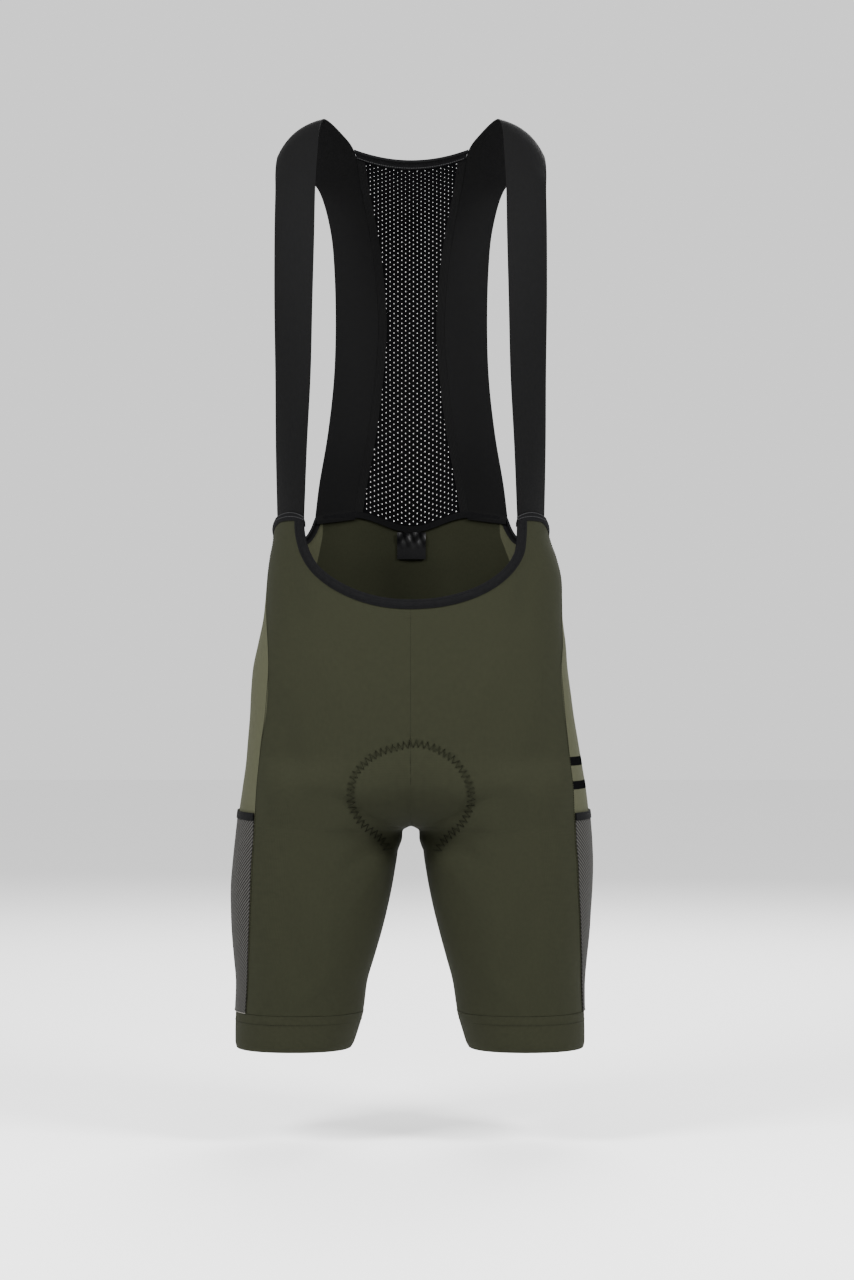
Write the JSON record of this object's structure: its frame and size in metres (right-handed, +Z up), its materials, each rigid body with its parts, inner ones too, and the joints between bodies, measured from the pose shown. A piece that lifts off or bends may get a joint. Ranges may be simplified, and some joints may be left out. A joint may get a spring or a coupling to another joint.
{
  "type": "cycling bib shorts",
  "caption": "Olive cycling bib shorts with black elastic shoulder straps, an open mesh back yoke, net thigh pockets and ribbed hem bands, filled out as worn.",
  "frame": {"origin": "midway between the undersides of the two strap crowns, where the wearer's shoulders hold the garment", "axes": "+Z up, the front faces -Y, +X is the wearer's left"},
  "size_m": [0.3622, 0.234, 0.9267],
  "materials": {
    "olive_knit": "matt",
    "light_olive_knit": "matt",
    "olive_rib": "matt",
    "grey_net": "matt",
    "black_binding": "matt",
    "black_elastic": "satin",
    "black_mesh": "matt",
    "black_satin": "satin",
    "pad_foam": "matt"
  },
  "bodies": {
    "root": {"front_panel_left": "olive_knit", "back_panel_left": "olive_knit", "side_panel_left": "light_olive_knit", "hem_band_left": "olive_rib", "pocket_left": "grey_net", "pocket_binding_left": "black_binding", "strap_left": "black_elastic", "armhole_binding_left": "black_binding", "front_panel_right": "olive_knit", "back_panel_right": "olive_knit", "side_panel_right": "light_olive_knit", "hem_band_right": "olive_rib", "pocket_right": "grey_net", "pocket_binding_right": "black_binding", "strap_right": "black_elastic", "armhole_binding_right": "black_binding", "back_mesh": "black_mesh", "back_top_binding": "black_binding", "neckline_binding": "black_binding", "waist_tape": "black_binding", "label": "black_satin", "chamois": "pad_foam"}
  },
  "joints": []
}
